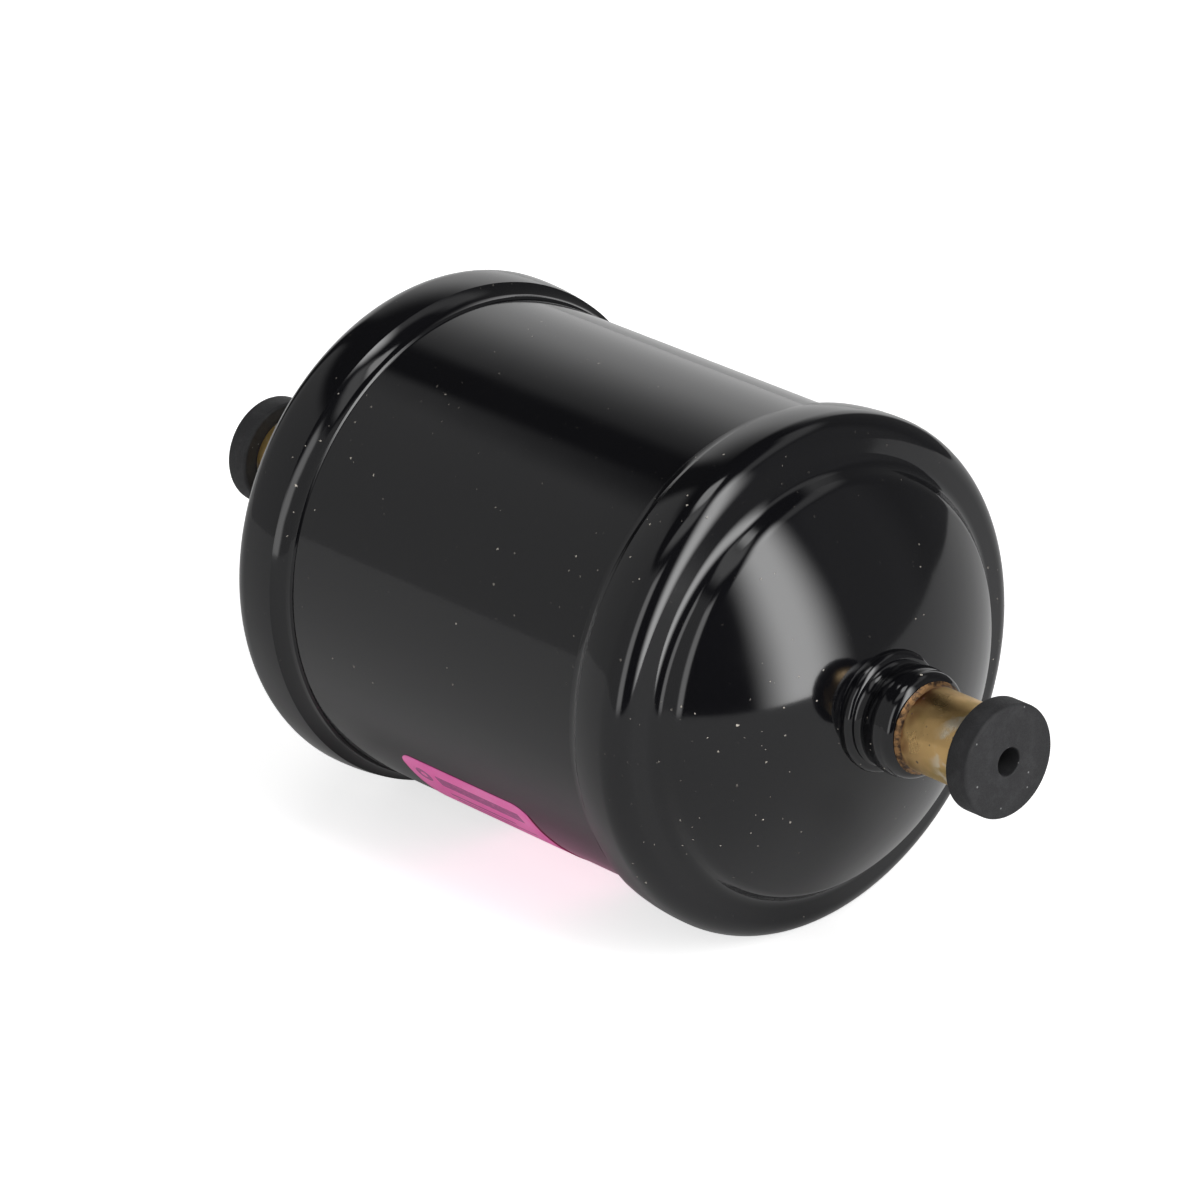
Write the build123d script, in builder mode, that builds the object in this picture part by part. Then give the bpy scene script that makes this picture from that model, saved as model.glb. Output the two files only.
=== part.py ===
"""Liquid-line filter drier with a moulded desiccant core, solder connectors and transport stoppers.

The drier lies along X with its middle at the origin. The refrigerant enters at -X and leaves at +X.
Both ends are alike, so the pieces of an end are modelled at +X and mirrored for the inlet.
"""
from build123d import *
import math
import os

# ---- shell: a steel barrel with a pressed cap lapped over each end
BARREL_RADIUS = 33.1
BARREL_WALL = 1.2
SKIRT_LENGTH = 7.57  # from the shoulder's corner back to the mouth of the cap
CAP_SHEET = 1.6
CAP_SLIP = 0.05  # radial clearance of the barrel in the mouth of the cap
SKIRT_CROWN = 25.0  # radius of the slight bulge along the skirt
WIDEST_INSET = 3.37  # from that corner back to the widest ring of the cap
SHOULDER_ROLL = 3.4
LEDGE_SLOPE = 9.0  # degrees that the ledge inside the shoulder rises towards the dome
STEP_RADIUS = 28.75  # where the ledge meets the dome's steep side
STEP_SLOPE = 68.0  # degrees
STEP_LENGTH = 3.3
STEP_HOLLOW = 2.4
KNUCKLE_ROLL = 4.5
DOME_RADIUS = 45.6
BARREL_END_GAP = 0.15  # between the end of the barrel and the inside of the cap

# ---- fillet weld round the mouth of each cap
SEAM_LENGTH = 2.75
SEAM_TOE = 0.32  # height of the small ridge at the toe of the weld
SEAM_TOE_WIDTH = 0.9
SEAM_HOLLOW = 5.0  # radius of the hollow flank that runs up to the cap

# ---- neck: a turned steel collar in the cap's hole, welded at its foot
SPIGOT_RADIUS = 6.25
SPIGOT_REACH = 1.9  # from the collar's shoulder back through the cap's sheet
HOLE_SLIP = 0.05
WAIST_RADIUS = 6.7
BULB_RADIUS = 7.3
FOOT_LENGTH = 1.1
WAIST_LENGTH = 2.0
BULB_LENGTH = 4.19
BULB_NOSE = 1.6
NECK_BEAD_RADIUS = 1.0
NECK_BEAD_RISE = 0.3  # from the dome's surface out to the middle of the bead

# ---- connector: copper tube with a socket for the line
TUBE_RADIUS = 5.65
TUBE_REACH = 10.47  # from the collar's nose to the end of the tube
TUBE_BORE = 4.0
TUBE_ROOT_RADIUS = 5.4  # the reduced root that stands in the collar and the braze
TUBE_CHAMFER = 0.3
SOCKET_RADIUS = 4.8
SOCKET_DEPTH = 9.0
SOCKET_LEAD = 0.25
TUBE_SLIP = 0.03
BRAZE_LENGTH = 0.7
BRAZE_HEIGHT = 0.5
BRAZE_HOLLOW = 1.0

# ---- transport stopper of rubber
FLANGE_RADIUS = 7.6
FLANGE_THICKNESS = 3.7
FLANGE_ROUND = 0.45
STEM_LENGTH = 7.5
STEM_SLIP = 0.04
STEM_RIBS = 2
RIB_WIDTH = 1.1
RIB_HEIGHT = 0.45
VENT_RADIUS = 1.87
VENT_DEPTH = 8.6
STEM_NOSE = 0.6

# ---- inside: core between felt pads, held by a perforated cup and a sprung plate
CORE_GAP = 2.9  # radial gap between the core and the cup's rim
CORE_LENGTH = 55.5
CORE_BORE = 6.5
CORE_FLOOR = 12.0  # solid desiccant left at the blind end of the bore
CORE_CHAMFER = 2.0
CORE_DRAFT = 1.0  # degrees
CUP_SHEET = 0.9
CUP_RIM = 8.0
CUP_SLIP = 0.1
CUP_SEAT_GAP = 0.1
CUP_HOLE = 1.6
CUP_HOLE_PITCH = 6.0  # from one ring of holes to the next
CUP_HOLE_COUNTS = (1, 6, 12, 18)  # holes at the middle and in each ring
STRAINER_THICKNESS = 0.4
OUTLET_FELT = 5.0
INLET_FELT = 3.0
FELT_SLIP = 0.1
PLATE_SHEET = 1.0
PLATE_INSET = 1.0  # the plate's edge lies this far inside the core's
LUG_COUNT = 4
LUG_WIDTH = 10.0
LUG_REACH = 6.0
PLATE_HOLE = 1.6
PLATE_HOLE_PITCH = 7.0
PLATE_HOLE_COUNTS = (0, 6, 12)
SPRING_WIRE = 1.1  # radius
SPRING_SMALL = 11.0
SPRING_LARGE = 20.0
SPRING_TURNS = 3.5
SPRING_ROOM = 8.11  # from the plate's back to the shoulder of the inlet's cap
SEAT_GAP = 0.05

# ---- label wrapped round the underside of the barrel
LABEL_WIDTH = 25.0
LABEL_WRAP = 90.0  # degrees
LABEL_THICKNESS = 0.12
LABEL_TOP = 33.0  # degrees from the -Y side down to the label's upper edge
LABEL_SHIFT = -0.3
LABEL_CORNER = 2.5

# ---- worked out from the sizes above
LEDGE_LEAN = math.radians(LEDGE_SLOPE)
STEP_LEAN = math.radians(STEP_SLOPE)
MOUTH_RADIUS = BARREL_RADIUS + CAP_SLIP + CAP_SHEET
CAP_RADIUS = MOUTH_RADIUS + SKIRT_CROWN - math.sqrt(SKIRT_CROWN**2 - (SKIRT_LENGTH - WIDEST_INSET) ** 2)
BACK_RADIUS = CAP_RADIUS - SKIRT_CROWN + math.sqrt(SKIRT_CROWN**2 - WIDEST_INSET**2)
CUP_RADIUS = BARREL_RADIUS - BARREL_WALL - CUP_SLIP
LEDGE_DEPTH = CAP_SHEET / math.cos(LEDGE_LEAN) - (BACK_RADIUS - CUP_RADIUS) * math.tan(LEDGE_LEAN)
CUP_STACK = LEDGE_DEPTH + CUP_SEAT_GAP + CUP_SHEET
CORE_STACK = STRAINER_THICKNESS + OUTLET_FELT + CORE_LENGTH + INLET_FELT
CREST_X = (CUP_STACK + CORE_STACK + PLATE_SHEET + SPRING_ROOM) / 2
CUP_FLOOR_X = CREST_X - CUP_STACK
CUP_X = CUP_FLOOR_X + CUP_SHEET
MOUTH_X = CREST_X - SKIRT_LENGTH
WIDEST_X = CREST_X - WIDEST_INSET
STEP_X = CREST_X + (BACK_RADIUS - STEP_RADIUS) * math.tan(LEDGE_LEAN)
DOME_FOOT_X = STEP_X + STEP_LENGTH * math.sin(STEP_LEAN)
DOME_FOOT_RADIUS = STEP_RADIUS - STEP_LENGTH * math.cos(STEP_LEAN)
DOME_CENTRE = DOME_FOOT_X - math.sqrt(DOME_RADIUS**2 - DOME_FOOT_RADIUS**2)
BARREL_HALF = CREST_X - CAP_SHEET - BARREL_END_GAP
BARREL_BORE = BARREL_RADIUS - BARREL_WALL
HOLE_RADIUS = SPIGOT_RADIUS + HOLE_SLIP
ENDS = (("outlet", False), ("inlet", True))


def dome_x(radius: float, depth: float = 0.0) -> float:
    """Where the dome stands at this distance from the axis, or its inner face at that depth."""
    return DOME_CENTRE + math.sqrt((DOME_RADIUS - depth) ** 2 - radius**2)


def keep(piece: Part, name: str) -> None:
    """Name a finished piece and write its STEP file."""
    piece.label = name
    export_step(piece, f"parts/{name}.step")


def keep_ends(piece: Part, name: str) -> None:
    """Write the outlet's piece and its mirrored twin at the inlet."""
    for end, mirrored in ENDS:
        keep(mirror(piece, about=Plane.YZ) if mirrored else piece, f"{end}_{name}")


def hole_rings(pitch: float, counts: tuple, hole: float, plane: Plane) -> Sketch:
    """Round holes at the middle and in evenly pitched rings round it, with the count of each."""
    with BuildSketch(plane) as pattern:
        for ring, count in enumerate(counts):
            if count:
                with PolarLocations(ring * pitch, count):
                    Circle(hole)
    return pattern.sketch


os.makedirs("parts", exist_ok=True)

# ---- barrel
with BuildPart() as barrel:
    Cylinder(BARREL_RADIUS, 2 * BARREL_HALF, rotation=(0, 90, 0))
    Cylinder(BARREL_BORE, 2 * BARREL_HALF, rotation=(0, 90, 0), mode=Mode.SUBTRACT)
keep(barrel.part, "barrel")

# ---- end caps: skirt, rolled shoulder, ledge, steep side and dome in one sheet
CAP_ROLLS = (
    (CREST_X, BACK_RADIUS, SHOULDER_ROLL),
    (STEP_X, STEP_RADIUS, STEP_HOLLOW),
    (DOME_FOOT_X, DOME_FOOT_RADIUS, KNUCKLE_ROLL),
)
with BuildPart() as end_cap:
    with BuildSketch() as cap_section:
        with BuildLine():
            skirt = ThreePointArc((MOUTH_X, MOUTH_RADIUS), (WIDEST_X, CAP_RADIUS), (CREST_X, BACK_RADIUS))
            ledge = Polyline(skirt @ 1, (STEP_X, STEP_RADIUS), (DOME_FOOT_X, DOME_FOOT_RADIUS))
            dome = RadiusArc(ledge @ 1, (DOME_CENTRE + DOME_RADIUS, 0), DOME_RADIUS)
            Polyline(dome @ 1, (MOUTH_X, 0), skirt @ 0)
        make_face()
        for corner_x, corner_radius, roll in CAP_ROLLS:
            fillet(cap_section.vertices().sort_by_distance((corner_x, corner_radius))[0], roll)
        inner_wall = cap_section.face().outer_wire().offset_2d(-CAP_SHEET)
        add(make_face(inner_wall, mode=Mode.PRIVATE), mode=Mode.SUBTRACT)
    revolve(axis=Axis.X)
    with BuildSketch(Plane.YZ.offset(MOUTH_X)):
        Circle(BARREL_RADIUS + CAP_SLIP)
    extrude(amount=CUP_X - MOUTH_X, mode=Mode.SUBTRACT)
    with BuildSketch(Plane.YZ.offset(MOUTH_X)):
        Circle(HOLE_RADIUS)
    extrude(amount=DOME_RADIUS, mode=Mode.SUBTRACT)
keep_ends(end_cap.part, "end_cap")

# ---- seam welds: a small ridge at the toe, then a hollow flank up to the mouth of the cap
TOE_X = MOUTH_X - SEAM_LENGTH
TOE_RADIUS = BARREL_RADIUS + SEAM_TOE
TOE_CREST = (TOE_X + SEAM_TOE / 2, TOE_RADIUS)
with BuildPart() as seam_weld:
    with BuildSketch() as seam_section:
        with BuildLine():
            toe = Polyline((TOE_X, BARREL_RADIUS), TOE_CREST, (TOE_X + SEAM_TOE_WIDTH, TOE_RADIUS))
            flank = RadiusArc(toe @ 1, (MOUTH_X, MOUTH_RADIUS), -SEAM_HOLLOW)
            Polyline(flank @ 1, (MOUTH_X, BARREL_RADIUS), toe @ 0)
        make_face()
        fillet(seam_section.vertices().sort_by_distance(TOE_CREST)[0], SEAM_TOE / 3)
    revolve(axis=Axis.X)
keep_ends(seam_weld.part, "seam_weld")

# ---- neck collars: spigot, foot, hollow waist and rounded bulb
SHOULDER_X = dome_x(HOLE_RADIUS) + SEAT_GAP
SPIGOT_X = SHOULDER_X - SPIGOT_REACH
WAIST_X = SHOULDER_X + FOOT_LENGTH
BULB_X = WAIST_X + WAIST_LENGTH
NOSE_X = BULB_X + BULB_LENGTH
WAIST_DEPTH = BULB_RADIUS - WAIST_RADIUS
WAIST_HOLLOW = WAIST_LENGTH**2 / 8 / WAIST_DEPTH + WAIST_DEPTH / 2
with BuildPart() as neck_collar:
    with BuildSketch() as collar_section:
        with BuildLine():
            back = Polyline((SPIGOT_X, 0), (SPIGOT_X, SPIGOT_RADIUS), (SHOULDER_X, SPIGOT_RADIUS),
                            (SHOULDER_X, BULB_RADIUS), (WAIST_X, BULB_RADIUS))
            waist = RadiusArc(back @ 1, (BULB_X, BULB_RADIUS), -WAIST_HOLLOW)
            Polyline(waist @ 1, (NOSE_X, BULB_RADIUS), (NOSE_X, 0), back @ 0)
        make_face()
        fillet(collar_section.vertices().sort_by_distance((NOSE_X, BULB_RADIUS))[0], BULB_NOSE)
    revolve(axis=Axis.X)
    with BuildSketch(Plane.YZ):
        Circle(TUBE_ROOT_RADIUS + TUBE_SLIP)
    extrude(amount=NOSE_X, mode=Mode.SUBTRACT)
keep_ends(neck_collar.part, "neck_collar")

# ---- weld bead round the foot of each collar
with BuildPart() as neck_weld:
    with BuildSketch():
        with Locations((dome_x(BULB_RADIUS) + NECK_BEAD_RISE, BULB_RADIUS)):
            Circle(NECK_BEAD_RADIUS)
    revolve(axis=Axis.X)
    with BuildSketch():
        with BuildLine():
            face = RadiusArc((DOME_FOOT_X, DOME_FOOT_RADIUS), (DOME_CENTRE + DOME_RADIUS, 0), DOME_RADIUS)
            Polyline(face @ 1, (DOME_FOOT_X, 0), face @ 0)
        make_face()
    revolve(axis=Axis.X, mode=Mode.SUBTRACT)
    add(neck_collar.part, mode=Mode.SUBTRACT)
    with BuildSketch(Plane.YZ):
        Circle(BULB_RADIUS - SEAT_GAP)
    extrude(amount=NOSE_X, mode=Mode.SUBTRACT)
keep_ends(neck_weld.part, "neck_weld")

# ---- copper connectors with a solder socket; the bare length starts at the tip of the braze
TUBE_BARE_X = NOSE_X + BRAZE_LENGTH
TUBE_END_X = NOSE_X + TUBE_REACH
SOCKET_X = TUBE_END_X - SOCKET_DEPTH
with BuildPart() as connector:
    with BuildSketch():
        with BuildLine():
            root = Polyline((SPIGOT_X, TUBE_BORE), (SPIGOT_X, TUBE_ROOT_RADIUS),
                            (TUBE_BARE_X, TUBE_ROOT_RADIUS), (TUBE_BARE_X, TUBE_RADIUS))
            mouth = Polyline(root @ 1, (TUBE_END_X - TUBE_CHAMFER, TUBE_RADIUS),
                             (TUBE_END_X, TUBE_RADIUS - TUBE_CHAMFER),
                             (TUBE_END_X, SOCKET_RADIUS + SOCKET_LEAD),
                             (TUBE_END_X - SOCKET_LEAD, SOCKET_RADIUS))
            Polyline(mouth @ 1, (SOCKET_X, SOCKET_RADIUS), (SOCKET_X, TUBE_BORE), root @ 0)
        make_face()
    revolve(axis=Axis.X)
keep_ends(connector.part, "connector")

# ---- braze fillet where each connector leaves its collar
with BuildPart() as braze_ring:
    with BuildSketch():
        with BuildLine():
            sides = Polyline((TUBE_BARE_X, TUBE_RADIUS), (TUBE_BARE_X, TUBE_ROOT_RADIUS),
                             (NOSE_X, TUBE_ROOT_RADIUS), (NOSE_X, TUBE_RADIUS + BRAZE_HEIGHT))
            RadiusArc(sides @ 1, sides @ 0, -BRAZE_HOLLOW)
        make_face()
    revolve(axis=Axis.X)
keep_ends(braze_ring.part, "braze_ring")

# ---- rubber stoppers: flange, ribbed stem in the socket and a blind vent hole
STEM_RADIUS = SOCKET_RADIUS - STEM_SLIP
STEM_END_X = TUBE_END_X - STEM_LENGTH
FACE_X = TUBE_END_X + FLANGE_THICKNESS
with BuildPart() as stopper:
    with BuildSketch(Plane.YZ.offset(TUBE_END_X)):
        Circle(FLANGE_RADIUS)
    extrude(amount=FLANGE_THICKNESS)
    fillet(stopper.edges(), FLANGE_ROUND)
    with BuildSketch(Plane.YZ.offset(STEM_END_X)):
        Circle(STEM_RADIUS - RIB_HEIGHT)
    extrude(amount=STEM_LENGTH)
    chamfer(stopper.edges().group_by(Axis.X)[0], STEM_NOSE)
    for rib in range(STEM_RIBS):
        rib_x = STEM_END_X + STEM_LENGTH * (rib + 1) / (STEM_RIBS + 1)
        with BuildSketch(Plane.YZ.offset(rib_x - RIB_WIDTH / 2)):
            Circle(STEM_RADIUS)
        extrude(amount=RIB_WIDTH)
    with BuildSketch(Plane.YZ.offset(FACE_X)):
        Circle(VENT_RADIUS)
    extrude(amount=-VENT_DEPTH, mode=Mode.SUBTRACT)
keep_ends(stopper.part, "stopper")

# ---- perforated cup that carries the core at the outlet, seated on the inside of the cap's ledge
FELT_RADIUS = CUP_RADIUS - CUP_SHEET - FELT_SLIP
CORE_RADIUS = CUP_RADIUS - CUP_SHEET - CORE_GAP
PLATE_RADIUS = CORE_RADIUS - PLATE_INSET
with BuildPart() as core_cup:
    with BuildSketch(Plane.YZ.offset(CUP_X)):
        Circle(CUP_RADIUS)
    extrude(amount=-CUP_SHEET - CUP_RIM)
    fillet(core_cup.edges().group_by(Axis.X)[-1], CUP_SHEET)
    with BuildSketch(Plane.YZ.offset(CUP_FLOOR_X)):
        Circle(CUP_RADIUS - CUP_SHEET)
    extrude(amount=-CUP_RIM, mode=Mode.SUBTRACT)
    holes = hole_rings(CUP_HOLE_PITCH, CUP_HOLE_COUNTS, CUP_HOLE, Plane.YZ.offset(CUP_FLOOR_X))
    extrude(holes, amount=CUP_SHEET, mode=Mode.SUBTRACT)
keep(core_cup.part, "core_cup")

# ---- strainer disc and felt pad inside the cup
with BuildPart() as strainer:
    with BuildSketch(Plane.YZ.offset(CUP_FLOOR_X)):
        Circle(FELT_RADIUS)
    extrude(amount=-STRAINER_THICKNESS)
keep(strainer.part, "strainer")

OUTLET_FELT_X = CUP_FLOOR_X - STRAINER_THICKNESS
with BuildPart() as outlet_felt:
    with BuildSketch(Plane.YZ.offset(OUTLET_FELT_X)):
        Circle(FELT_RADIUS)
    extrude(amount=-OUTLET_FELT)
keep(outlet_felt.part, "outlet_felt")

# ---- moulded desiccant core with a blind bore that opens at the outlet
CORE_X = OUTLET_FELT_X - OUTLET_FELT
CORE_BACK_X = CORE_X - CORE_LENGTH
with BuildPart() as desiccant_core:
    with BuildSketch(Plane.YZ.offset(CORE_BACK_X)):
        Circle(CORE_RADIUS)
    extrude(amount=CORE_LENGTH)
    chamfer(desiccant_core.edges(), CORE_CHAMFER)
    with BuildSketch(Plane.YZ.offset(CORE_X)):
        Circle(CORE_BORE)
    extrude(amount=CORE_FLOOR - CORE_LENGTH, taper=CORE_DRAFT, mode=Mode.SUBTRACT)
keep(desiccant_core.part, "desiccant_core")

# ---- felt pad and pressure plate at the inlet: a perforated disc with lugs turned along the barrel
with BuildPart() as inlet_felt:
    with BuildSketch(Plane.YZ.offset(CORE_BACK_X)):
        Circle(PLATE_RADIUS)
    extrude(amount=-INLET_FELT)
keep(inlet_felt.part, "inlet_felt")

PLATE_X = CORE_BACK_X - INLET_FELT
PLATE_BACK_X = PLATE_X - PLATE_SHEET
with BuildPart() as pressure_plate:
    with BuildSketch(Plane.YZ.offset(PLATE_BACK_X)):
        Circle(CUP_RADIUS)
    extrude(amount=PLATE_SHEET + LUG_REACH)
    fillet(pressure_plate.edges().group_by(Axis.X)[0], PLATE_SHEET)
    with BuildSketch(Plane.YZ.offset(PLATE_X)):
        Circle(CUP_RADIUS - PLATE_SHEET)
    extrude(amount=LUG_REACH, mode=Mode.SUBTRACT)
    with BuildSketch(Plane.YZ.offset(PLATE_BACK_X)):
        Circle(PLATE_RADIUS)
        with PolarLocations(0, LUG_COUNT):
            Rectangle(CUP_RADIUS, LUG_WIDTH, align=(Align.MIN, Align.CENTER))
    extrude(amount=PLATE_SHEET + LUG_REACH, mode=Mode.INTERSECT)
    holes = hole_rings(PLATE_HOLE_PITCH, PLATE_HOLE_COUNTS, PLATE_HOLE, Plane.YZ.offset(PLATE_BACK_X))
    extrude(holes, amount=PLATE_SHEET, mode=Mode.SUBTRACT)
keep(pressure_plate.part, "pressure_plate")

# ---- conical spring between the inlet's dome and the pressure plate
SPRING_FOOT_X = PLATE_BACK_X - SPRING_WIRE - SEAT_GAP
SPRING_TOP_X = -dome_x(SPRING_SMALL, CAP_SHEET + SPRING_WIRE + SEAT_GAP)
SPRING_HEIGHT = SPRING_FOOT_X - SPRING_TOP_X
SPRING_CONE = math.degrees(math.atan((SPRING_LARGE - SPRING_SMALL) / SPRING_HEIGHT))
with BuildPart() as core_spring:
    with BuildLine():
        coil = Helix(SPRING_HEIGHT / SPRING_TURNS, SPRING_HEIGHT, SPRING_SMALL, center=(SPRING_TOP_X, 0, 0),
                     direction=(1, 0, 0), cone_angle=SPRING_CONE)
    with BuildSketch(Plane(origin=coil @ 0, z_dir=coil % 0)):
        Circle(SPRING_WIRE)
    sweep(path=coil, is_frenet=True)
keep(core_spring.part, "core_spring")

# ---- label on the underside of the barrel: a strip of the barrel's own curve with rounded corners
LABEL_ANGLE = math.radians(180 + LABEL_TOP + LABEL_WRAP / 2)
LABEL_CHORD = 2 * BARREL_RADIUS * math.sin(math.radians(LABEL_WRAP / 2))
with BuildPart() as label:
    with BuildSketch(Plane.YZ.offset(LABEL_SHIFT - LABEL_WIDTH / 2)):
        Circle(BARREL_RADIUS + LABEL_THICKNESS)
        Circle(BARREL_RADIUS, mode=Mode.SUBTRACT)
    extrude(amount=LABEL_WIDTH)
    outward = (0, math.cos(LABEL_ANGLE), math.sin(LABEL_ANGLE))
    with BuildSketch(Plane(origin=(LABEL_SHIFT, 0, 0), x_dir=(1, 0, 0), z_dir=outward)):
        RectangleRounded(LABEL_WIDTH, LABEL_CHORD, LABEL_CORNER)
    extrude(amount=2 * BARREL_RADIUS, mode=Mode.INTERSECT)
keep(label.part, "label")
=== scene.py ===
"""A coated filter drier with copper solder connectors and rubber stoppers, dressed for close views."""

import functools
import logging
import math
from dataclasses import dataclass, field
from enum import Enum

import bpy
from mathutils import Matrix, Vector


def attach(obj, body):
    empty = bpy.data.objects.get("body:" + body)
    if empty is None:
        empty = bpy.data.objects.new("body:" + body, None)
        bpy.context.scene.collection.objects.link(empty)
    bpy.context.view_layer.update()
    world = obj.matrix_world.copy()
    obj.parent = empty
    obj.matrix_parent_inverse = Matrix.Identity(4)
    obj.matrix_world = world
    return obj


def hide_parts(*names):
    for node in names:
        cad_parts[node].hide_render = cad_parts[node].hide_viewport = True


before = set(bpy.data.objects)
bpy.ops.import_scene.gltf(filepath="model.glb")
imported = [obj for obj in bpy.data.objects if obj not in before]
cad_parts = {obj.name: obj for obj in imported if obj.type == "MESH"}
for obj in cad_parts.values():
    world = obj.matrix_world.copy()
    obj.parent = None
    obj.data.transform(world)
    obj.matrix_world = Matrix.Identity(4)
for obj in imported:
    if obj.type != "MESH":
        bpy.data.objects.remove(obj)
Socket, Tree, Material, Piece = bpy.types.NodeSocket, bpy.types.NodeTree, bpy.types.Material, bpy.types.Object
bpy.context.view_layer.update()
MM = 0.001
UV_SPAN = 100.0  # millimetres that 1 in the label's UV stands for
MERGE = 0.5e-6  # metres between points that are one
LOG = logging.getLogger("drier")


class End(Enum):
    """The two ends of the drier, each with the sign of its side on X."""

    OUTLET = ("outlet", 1.0)
    INLET = ("inlet", -1.0)

    @property
    def label(self) -> str:
        """The word that starts the names of this end's pieces."""
        return self.value[0]

    @property
    def side(self) -> float:
        """1 towards +X and -1 towards -X."""
        return self.value[1]


class Slot(Enum):
    """Names of the record's material slots, listed beside the neck's pieces and not read."""

    SHELL = "coated_shell"
    COPPER = "copper"
    BRAZE = "braze"
    RUBBER = "rubber_stopper"
    FILM = "label_film"


# ---- node wiring


class Graph:
    """A node tree that is being wired."""

    def __init__(self, tree: Tree) -> None:
        """Take the tree to wire.

        Args:
            tree: a shader or geometry node tree.
        """
        self.tree = tree

    def wire(self, node: bpy.types.Node, values: dict) -> None:
        """Set a node's inputs.

        Args:
            node: the node.
            values: input name or index against a constant, or against an output to link.
        """
        for name, value in values.items():
            if isinstance(value, Socket):
                self.tree.links.new(value, node.inputs[name])
            else:
                node.inputs[name].default_value = value

    def add(self, kind: str, values: dict | None = None, **settings: object) -> bpy.types.Node:
        """Add a node.

        Args:
            kind: Blender's name of the node type.
            values: its inputs, as wire takes them.
            settings: properties of the node itself.

        Returns:
            The new node.
        """
        node = self.tree.nodes.new(kind)
        for name, value in settings.items():
            setattr(node, name, value)
        self.wire(node, values or {})
        return node

    def math(self, operation: str, *values: object) -> Socket:
        """One step of arithmetic on numbers or outputs.

        Args:
            operation: the Math node's operation.
            values: its operands.

        Returns:
            The result.
        """
        return self.add("ShaderNodeMath", dict(enumerate(values)), operation=operation).outputs[0]

    def vector(self, operation: str, *values: object) -> Socket:
        """One step of vector arithmetic.

        Args:
            operation: the Vector Math node's operation.
            values: its operands.

        Returns:
            The resulting vector.
        """
        return self.add("ShaderNodeVectorMath", dict(enumerate(values)), operation=operation).outputs[0]

    def fold(self, operation: str, values: list) -> Socket:
        """One step of arithmetic repeated along a row of numbers or outputs."""
        return functools.reduce(functools.partial(self.math, operation), values)

    def times(self, first: object, second: object) -> Socket:
        """Two numbers or outputs multiplied."""
        return self.math("MULTIPLY", first, second)

    def plus(self, first: object, second: object) -> Socket:
        """Two numbers or outputs added."""
        return self.math("ADD", first, second)

    def minus(self, first: object, second: object) -> Socket:
        """The first number or output less the second."""
        return self.math("SUBTRACT", first, second)

    def scaled(self, vector: Socket, factor: object) -> Socket:
        """A vector times a number."""
        return self.add("ShaderNodeVectorMath", {0: vector, "Scale": factor}, operation="SCALE").outputs[0]

    def span(self, value: object, low: object, high: object, start: object = 0.0,
             end: object = 1.0) -> Socket:
        """Map a stretch of values to another, eased and held at its ends.

        Args:
            value: what is mapped.
            low: where the stretch starts.
            high: where it ends.
            start: result at low.
            end: result at high.

        Returns:
            The mapped value.
        """
        return self.add("ShaderNodeMapRange", dict(enumerate((value, low, high, start, end))),
                        interpolation_type="SMOOTHSTEP").outputs[0]

    def noise(self, vector: Socket, size: float, detail: float = 2.0, rough: float = 0.5,
              twist: float = 0.0) -> Socket:
        """Cloudy noise.

        Args:
            vector: where it is read, in metres.
            size: rough size of a cloud in millimetres.
            detail: octaves.
            rough: weight of the finer octaves.
            twist: distortion.

        Returns:
            A value about 0.5.
        """
        return self.add("ShaderNodeTexNoise", {"Vector": vector, "Scale": 1 / (size * MM), "Detail": detail,
                                               "Roughness": rough, "Distortion": twist}).outputs[0]

    def mix(self, amount: object, first: object, second: object) -> Socket:
        """Blend two colours.

        Args:
            amount: 0 for the first, 1 for the second.
            first: a colour or an output.
            second: a colour or an output.

        Returns:
            The blended colour.
        """
        return self.add("ShaderNodeMix", {0: amount, 6: first, 7: second}, data_type="RGBA").outputs[2]

    def pattern(self, group: Tree, **values: object) -> Socket:
        """The output of a shared node group with these inputs."""
        return self.add("ShaderNodeGroup", values, node_tree=group).outputs[0]

    def bump(self, height: Socket, depth: float, strength: float = 1.0) -> Socket:
        """A normal bent by a height.

        Args:
            height: the height, about 0 to 1.
            depth: what 1 stands for, in millimetres.
            strength: share of the bend.

        Returns:
            The normal.
        """
        values = {"Strength": strength, "Distance": depth * MM, "Height": height}
        return self.add("ShaderNodeBump", values).outputs[0]

    def axes(self, vector: Socket) -> bpy.types.NodeOutputs:
        """A vector's three parts."""
        return self.add("ShaderNodeSeparateXYZ", {0: vector}).outputs

    def join(self, *parts: object) -> Socket:
        """A vector of these parts."""
        return self.add("ShaderNodeCombineXYZ", dict(enumerate(parts))).outputs[0]

    def within(self, value: object, centre: float, half: float, soft: float = 0.05) -> Socket:
        """A soft-edged mask of the values about a centre.

        Args:
            value: what is tested.
            centre: the middle of the values wanted.
            half: how far they reach to either side of it.
            soft: half the width of the soft edge.

        Returns:
            1 inside, 0 outside.
        """
        off = self.math("ABSOLUTE", self.minus(value, centre))
        return self.span(off, half - soft, half + soft, 1.0, 0.0)

    def shape(self, kind: str, geometry: Socket, values: dict | None = None,
              **settings: object) -> Socket:
        """The geometry that a geometry node makes of another."""
        values = {"Geometry": geometry, **(values or {})}
        return self.add("GeometryNode" + kind, values, **settings).outputs[0]


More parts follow.
